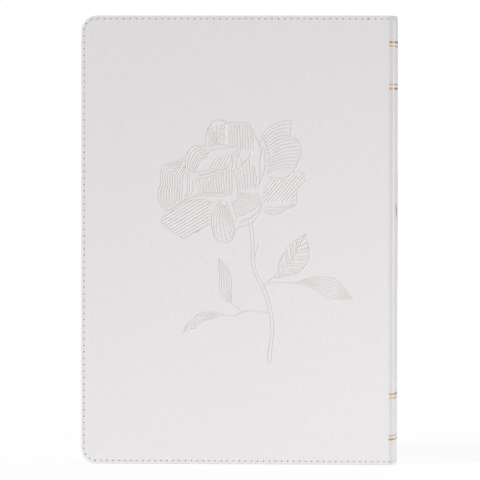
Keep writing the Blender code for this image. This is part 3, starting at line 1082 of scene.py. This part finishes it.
def foil_shape(bm, sheet, outline, lift=FOIL_LIFT):
    """A flat foil shape: outline is (along, z), and along is 0 at the spine's crest."""
    top, low = [[bm.verts.new(spine_point(sheet, s, z, rise)) for s, z in outline]
                for rise in (lift, -FOIL_ROOT)]
    bm.faces.new(top)
    bm.faces.new(low[::-1])
    for i in range(len(outline)):
        j = (i + 1) % len(outline)
        bm.faces.new((top[i], low[i], low[j], top[j]))


def leaf_outline(root, tip, half, steps=7):
    """A pointed leaf from root to tip, as a closed outline."""
    root, tip = np.array(root, float), np.array(tip, float)
    d = tip - root
    n = np.array([-d[1], d[0]]) / np.linalg.norm(d)
    right = [root + d * t + n * half * math.sin(math.pi * t ** 0.8)
             for t in np.linspace(0, 1, steps)]
    left = [root + d * t - n * half * math.sin(math.pi * t ** 0.8)
            for t in np.linspace(1, 0, steps)[1:-1]]
    return [tuple(p) for p in right + left]


def spine_sprig(sheet, mat):
    """A generic gold sprig in the middle of the spine, where a title would be."""
    bm = bmesh.new()
    stem = catmull([(0.0, 92), (0.8, 105), (-0.7, 119), (0.3, 134), (0.0, 146)], 26)
    left = [(p[0] - 0.25, p[1]) for p in stem]
    right = [(p[0] + 0.25, p[1]) for p in reversed(stem)]
    foil_shape(bm, sheet, left + right)
    for i in range(9):
        z = 98 + 5.4 * i
        side = 1 if i % 2 else -1
        x = float(np.interp(z, stem[:, 1], stem[:, 0]))
        reach = 5.2 - 0.3 * i
        foil_shape(bm, sheet, leaf_outline((x + side * 0.4, z), (x + side * reach, z + 6), 1.2))
    for side in (-1, 1):
        curl = catmull([(side * 0.4, 126.4), (side * 4.4, 126.8), (side * 8.2, 129.0)], 10)
        low = [(p[0], p[1] - 0.22) for p in curl]
        high = [(p[0], p[1] + 0.22) for p in curl]
        foil_shape(bm, sheet, low + high[::-1])
        foil_shape(bm, sheet, leaf_outline((side * 7.6, 128.6), (side * 14.2, 136.2), 1.4))
    foil_shape(bm, sheet, leaf_outline((0, 146), (0, 154), 1.7))
    return finish_object("spine_gold_sprig", bm, [mat], smooth=False)


def front_cross(sheet, mat):
    """A small plain gold cross above the rose on the front cover."""
    bm = bmesh.new()
    s = sheet.s_of_x((X_FORE + X_HINGE) / 2)
    arm, half, foot, top, bar = 6.0, 0.75, 193.0, 214.0, 206.0
    outline = [(-half, foot), (half, foot), (half, bar - half), (arm, bar - half),
               (arm, bar + half), (half, bar + half), (half, top), (-half, top),
               (-half, bar + half), (-arm, bar + half), (-arm, bar - half), (-half, bar - half)]
    foil_shape(bm, sheet, [(s + x, z) for x, z in outline], lift=CROSS_LIFT)
    return finish_object("front_gold_cross", bm, [mat], smooth=False)


# ---------------------------------------------------------------- the text block

def back_x(y):
    """Where the rounded back of the text block is at y."""
    return BACK_CENTRE_X + math.sqrt(BACK_RADIUS ** 2 - y ** 2)


def leaf_bundle(name, y_low, y_high, rng, page, edge, rows=5, x_extra=0.0):
    """One bundle of leaves: rounded fold, rounded page corners, slightly uneven edges."""
    # columns of vertices: distance from the fore edge, inset at head and tail, pinch
    corner = [math.radians(18 * k) for k in range(6)]
    columns = [(PAGE_CORNER * (1 - math.cos(a)), PAGE_CORNER * (1 - math.sin(a)), 0.0)
               for a in corner]
    bend = np.linspace(PAGE_WIDTH - BEND_LENGTH - 4, PAGE_WIDTH - 1.0, 20)
    columns += [(x, 0.0, 0.0) for x in (20, 50, 90, *bend)]
    columns += [(PAGE_WIDTH - before, 0.0, share) for before, share in FOLD]
    ys = [y_low + (y_high - y_low) * j / (rows - 1) for j in range(rows)]
    uneven = [(rng.uniform(-UNEVEN, UNEVEN), rng.uniform(-UNEVEN, UNEVEN)) for _ in ys]
    bm = bmesh.new()
    rings, marks = [], []
    for x, z_in, share in columns:
        pinch = share * (y_high - y_low)
        ring = []
        for place, up in ((SQUARE + z_in, 1), (HEIGHT - SQUARE - z_in, -1)):
            for y, (dx, dz) in list(zip(ys, uneven))[::up]:
                y_here = min(max(y, y_low + pinch), y_high - pinch)
                px = back_x(y) - PAGE_WIDTH + x + (dx if x < 10 else 0) + x_extra
                ring.append(bm.verts.new((px, y_here, place + dz)))
                marks.append((y, PAGE_WIDTH - x, place))
        rings.append(ring)
    size = 2 * rows
    for a, b in zip(rings, rings[1:]):
        for k in range(size):
            j = (k + 1) % size
            face = bm.faces.new((a[k], a[j], b[j], b[k]))
            face.material_index = 0 if k in (rows - 1, size - 1) else 1
    for ring, index in ((rings[0], 1), (rings[-1], 0)):
        for j in range(rows - 1):
            face = bm.faces.new((ring[j], ring[j + 1], ring[size - 2 - j], ring[size - 1 - j]))
            face.material_index = index
    ob = finish_object(name, bm, [page, edge])
    layer, page_x, page_z = zip(*marks)
    add_marks(ob.data, layer=layer, page_x=page_x, page_z=page_z)
    sharpen(ob, 35)
    return ob


def bend_to_leaf(ob):
    """Bake a leaf bundle's placement into its mesh."""
    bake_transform(ob)


def text_block(mats):
    """The eighteen bundles between the covers: on each side eight, and one that stays with the spine.
    """
    rng = random.Random(3)

    def bundle(number, side, near, far):
        ys = sorted((side * near, side * far))
        ob = leaf_bundle(f"leaves_{number:02d}", ys[0], ys[1], rng, mats["page"], mats["gilt"])
        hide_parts(f"signature_{number:02d}")
        return ob

    for side, prefix in ((1, "front"), (-1, "back")):
        for k in range(LEAVES_PER_SIDE):
            near = FIRST_LEAF + LEAF_PITCH * k - SQUEEZE
            far = FIRST_LEAF + LEAF_PITCH * (k + 1) - LEAF_GAP + SQUEEZE
            if k == LEAVES_PER_SIDE - 1:
                far = BLOCK_HALF
            number = LEAVES_PER_SIDE - k if side > 0 else LEAVES_PER_SIDE + 3 + k
            bend_to_leaf(bundle(number, side, near, far))
        number = LEAVES_PER_SIDE + 1 if side > 0 else LEAVES_PER_SIDE + 2
        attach(bundle(number, side, CENTRE_GAP, FIRST_LEAF - SQUEEZE - MIDDLE_GAP), "spine")


def pastedown_outline():
    """The paper inside a cover: its inner edge is straight, its outer corners are round."""
    inset, corner, x_inner = 5.0, CORNER + 1, X_HINGE - 6.5
    outline = [(x_inner, inset)]
    for cz, start in ((corner, 270), (HEIGHT - corner, 180)):
        for k in range(7):
            a = math.radians(start - 15 * k)
            outline.append((X_FORE + corner + (corner - inset) * math.cos(a),
                            cz + (corner - inset) * math.sin(a)))
    return outline + [(x_inner, HEIGHT - inset)]


def endpapers(mats):
    """A flyleaf at each end of the block, and the pastedown inside each cover."""
    paper = mats["endpaper"]
    for side, prefix in ((1, "front"), (-1, "back")):
        ys = sorted(side * y for y in FLYLEAF)
        ob = leaf_bundle(f"{prefix}_flyleaf_sheet", ys[0], ys[1], random.Random(7), paper, paper,
                         rows=2, x_extra=FLYLEAF_SHIFT)
        bend_to_leaf(ob)
        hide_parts(f"{prefix}_flyleaf")
        bm = bmesh.new()
        slab(bm, pastedown_outline(), side * (HALF - COVER - PASTEDOWN_PROUD),
             side * (HALF - COVER + PASTEDOWN_ROOT))
        ob = finish_object(f"{prefix}_pastedown_sheet", bm, [paper], smooth=False)
        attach(ob, f"{prefix}_cover")
        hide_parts(f"{prefix}_pastedown")


def bands(mats):
    """Head and tail bands: a silk-wound roll over the end of the rounded back."""
    count, per_turn, sides = 121, 5, 10
    thick, ridge, rise, half_width = 0.92, 0.09, 1.25, 13.2
    radius = BACK_RADIUS - 0.8
    half = math.asin(half_width / BACK_RADIUS)
    turns = [2 * math.pi * i / per_turn for i in range(count)]
    radii = [thick + ridge * math.cos(2 * turn) for turn in turns]
    angles = [-half + 2 * half * i / (count - 1) for i in range(count)]
    for name, z in (("headband", HEIGHT - SQUARE + rise), ("tailband", SQUARE - rise)):
        bm = bmesh.new()
        tube(bm, [(BACK_CENTRE_X + radius * math.cos(a), radius * math.sin(a), z)
                  for a in angles], radii, sides)
        ob = finish_object(f"{name}_silk", bm, [mats["silk"]])
        add_marks(ob.data, layer=[turn for turn in turns for _ in range(sides)])
        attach(ob, "spine")
        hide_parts(name)


def spine_linings(mats):
    """The inlay card in the case, and the gauze and kraft paper glued to the back."""
    # node, material, slot, centre, inner radius, thickness, half width, inset at head and tail
    layers = (("spine_inlay", "card", "board", X_CREST - SPINE_RADIUS, SPINE_RADIUS - 2.0,
               0.75, 15.0, 1.5),
              ("mull", "gauze", "mull", BACK_CENTRE_X, BACK_RADIUS + 0.15, 0.3, 15.5, 12.0),
              ("spine_liner", "kraft", "kraft", BACK_CENTRE_X, BACK_RADIUS + 0.6, 0.45, 15.0,
               4.0))
    for node, mat, slot, cx, radius, thick, half_width, inset in layers:
        bm = bmesh.new()
        half = math.asin(half_width / radius)
        section = ((radius, inset), (radius + thick, inset), (radius + thick, HEIGHT - inset),
                   (radius, HEIGHT - inset))
        skin(bm, [[(cx + r * math.cos(a), r * math.sin(a), z) for r, z in section]
                  for a in np.linspace(-half, half, 25)])
        ob = finish_object(f"{node}_{mat}", bm, [mats[mat]])
        sharpen(ob)
        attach(ob, "spine")
        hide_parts(node)


def ribbon(mats):
    """The marker ribbon between the two middle bundles, with a swallow-tail end."""
    half, left, right, x_back = 0.11, 56.0, 62.0, X_HINGE - 0.6
    bm = bmesh.new()
    slab(bm, [(left, 10.0), ((left + right) / 2, 12.8), (right, 10.0), (right, 219.0),
              (x_back, 224.0), (x_back, 230.0), (left + 3.0, 230.0), (left, 227.0)], -half, half)
    ob = finish_object("ribbon_satin", bm, [mats["satin"]], smooth=False)
    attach(ob, "spine")
    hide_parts("ribbon_marker")


# ---------------------------------------------------------------- the case

def case_leather(mats, sheet, holes, strokes, side, prefix):
    """One cover's leather, with its half of the spine."""
    half = CaseHalf(side, sheet, strokes_on_sheet(sheet, strokes, side), holes)
    ob = half.finish(f"{prefix}_case_leather", mats["leather"])
    nodes = [f"{prefix}_cover_skin"]
    if side < 0:
        nodes.append("spine_skin")
    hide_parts(*nodes)
    return ob


def case_seams(mats, sheet, holes, side, prefix):
    """The seam on one cover, inside and outside, and on its half of the spine."""
    # distances from the crest where the joint begins and ends, and where the case is thick
    joint, cover, board = sheet.hinge_s - 0.5, sheet.hinge_s + 4.6, sheet.hinge_s + 9.0

    def seam(part, keep, **options):
        return stitches(f"{prefix}_{part}", side, sheet, holes, keep, mats["thread"], **options)

    ob = seam("seam", lambda s: s > cover)
    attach(ob, f"{prefix}_cover")
    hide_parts(f"{prefix}_cover_stitching")
    ob = seam("seam_inside", lambda s: s > board, inner=True)
    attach(ob, f"{prefix}_cover")
    bending = seam("joint_seam", lambda s: joint < s <= cover)
    ob = seam("spine_seam", lambda s: s <= joint)
    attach(ob, "spine")
    if side < 0:
        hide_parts("spine_head_stitching", "spine_tail_stitching")
    return bending


def build_case(mats):
    """Leather, seams and foil."""
    sheet = Sheet()
    rose = rose_strokes()
    holes = stitch_holes(sheet)
    for side, prefix in ((-1, "back"), (1, "front")):
        leather = case_leather(mats, sheet, holes, rose, side, prefix)
        seam = case_seams(mats, sheet, holes, side, prefix)
        for ob in (leather, seam):
            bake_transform(ob)
    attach(gold_rules(sheet, mats["foil"]), "spine")
    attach(spine_sprig(sheet, mats["foil"]), "spine")
    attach(front_cross(sheet, mats["foil"]), "front_cover")


# ---------------------------------------------------------------- stage, light, camera

def make_stage():
    """A white ground that fades into the white background."""
    bpy.ops.mesh.primitive_circle_add(vertices=96, radius=1.2, fill_type="NGON",
                                      location=(0, 0, -0.0002))
    floor = bpy.context.object
    floor.name = "ground"
    n = Nodes("ground_white")
    n.set(Base_Color=rgb(0.93, 0.93, 0.93), Roughness=0.9)
    length = n.add("VectorMath", operation="LENGTH")
    n.put(n.add("TexCoord").outputs["Object"], length.inputs[0])
    fade = n.ramp(length.outputs["Value"], (0.16, rgb(1, 1, 1)), (0.85, rgb(0, 0, 0)))
    glow = n.add("Emission", Strength=1.0).outputs[0]
    pale = n.mix_shader(0.9, n.bsdf.outputs[0], glow)
    shown = n.mix_shader(fade, n.add("BsdfTransparent").outputs[0], pale)
    n.put(shown, n.tree.nodes["Material Output"].inputs["Surface"])
    floor.data.materials.append(n.mat)


def make_world():
    """A white background, dimmer as a light than it looks."""
    world = bpy.data.worlds.new("studio")
    bpy.context.scene.world = world
    world.use_nodes = True
    tree = world.node_tree
    tree.nodes.clear()
    out = tree.nodes.new("ShaderNodeOutputWorld")
    path = tree.nodes.new("ShaderNodeLightPath")
    mix = tree.nodes.new("ShaderNodeMixShader")
    tree.links.new(path.outputs["Is Camera Ray"], mix.inputs[0])
    lit, seen = (rgb(0.98, 0.99, 1.0), 0.28), (rgb(1, 1, 1), 1.0)
    for slot, (color, strength) in ((1, lit), (2, seen)):
        shade = tree.nodes.new("ShaderNodeBackground")
        shade.inputs["Color"].default_value = color
        shade.inputs["Strength"].default_value = strength
        tree.links.new(shade.outputs[0], mix.inputs[slot])
    tree.links.new(mix.outputs[0], out.inputs["Surface"])


def area_light(name, place, size, power, target=(0, 0, 0.12), color=(1, 1, 1)):
    """A square soft box aimed at target."""
    data = bpy.data.lights.new(name, "AREA")
    data.size = size
    data.energy = power
    data.color = color
    ob = bpy.data.objects.new(name, data)
    ob.location = place
    ob.rotation_euler = (Vector(target) - Vector(place)).to_track_quat("-Z", "Y").to_euler()
    ob.visible_camera = False
    bpy.context.collection.objects.link(ob)


def make_lights():
    """A key from the upper left that rakes over the cover, and fills from the right."""
    rosy = (1.0, 0.965, 0.955)
    area_light("key", (-1.72, -1.12, 1.515), size=0.54, power=47.0, color=(0.99, 0.98, 1.0))
    area_light("fill_front", (0.62, -0.86, 0.02), size=0.35, power=1.15)
    area_light("fill_low", (0.25, -0.50, 0.04), size=0.10, power=0.32, target=(0.05, 0, 0.05),
               color=(1.0, 0.955, 0.89))
    area_light("fill_spine", (1.05, -0.16, 0.12), size=0.9, power=3.0, color=rosy)
    area_light("fill_edge", (0.95, 0.50, 0.12), size=0.6, power=2.7, color=rosy)
    area_light("back", (0.3, 1.6, 1.2), size=1.2, power=14.0)


def make_camera():
    """A long lens, a little to the spine's side and above the middle of the book."""
    data = bpy.data.cameras.new("camera")
    data.lens = 314.2
    data.sensor_width = 36
    data.clip_end = 20
    ob = bpy.data.objects.new("camera", data)
    ob.location = (0.099, -2.2, 0.17)
    aim = Vector((0.0007, -0.02, 0.1171)) - ob.location
    ob.rotation_mode = "QUATERNION"
    ob.rotation_quaternion = aim.to_track_quat("-Z", "Y") @ Quaternion((0, 0, 1), 0.0016)
    bpy.context.collection.objects.link(ob)
    bpy.context.scene.camera = ob


def main():
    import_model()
    mats = {
        "leather": leather_material(),
        "thread": thread_material(),
        "foil": foil_material(),
        "gilt": gilt_material(),
        "page": page_material(),
        "endpaper": paper_material("endpaper_ivory", rgb(0.86, 0.84, 0.79),
                                   rgb(0.80, 0.77, 0.71), 260.0),
        "card": paper_material("grey_card", rgb(0.52, 0.49, 0.44), rgb(0.40, 0.37, 0.32), 700.0),
        "kraft": paper_material("kraft_paper", rgb(0.52, 0.38, 0.24), rgb(0.42, 0.29, 0.17),
                                400.0),
        "gauze": woven_material("mull_gauze", rgb(0.84, 0.81, 0.73), rgb(0.55, 0.51, 0.43),
                                500.0),
        "silk": silk_material(),
        "satin": woven_material("satin_ribbon", rgb(0.80, 0.62, 0.30), rgb(0.66, 0.47, 0.18),
                                900.0, sheen=0.6),
    }
    build_case(mats)
    text_block(mats)
    endpapers(mats)
    bands(mats)
    spine_linings(mats)
    ribbon(mats)
    make_stage()
    make_world()
    make_lights()
    make_camera()
    bpy.context.scene.view_settings.view_transform = "Standard"


main()
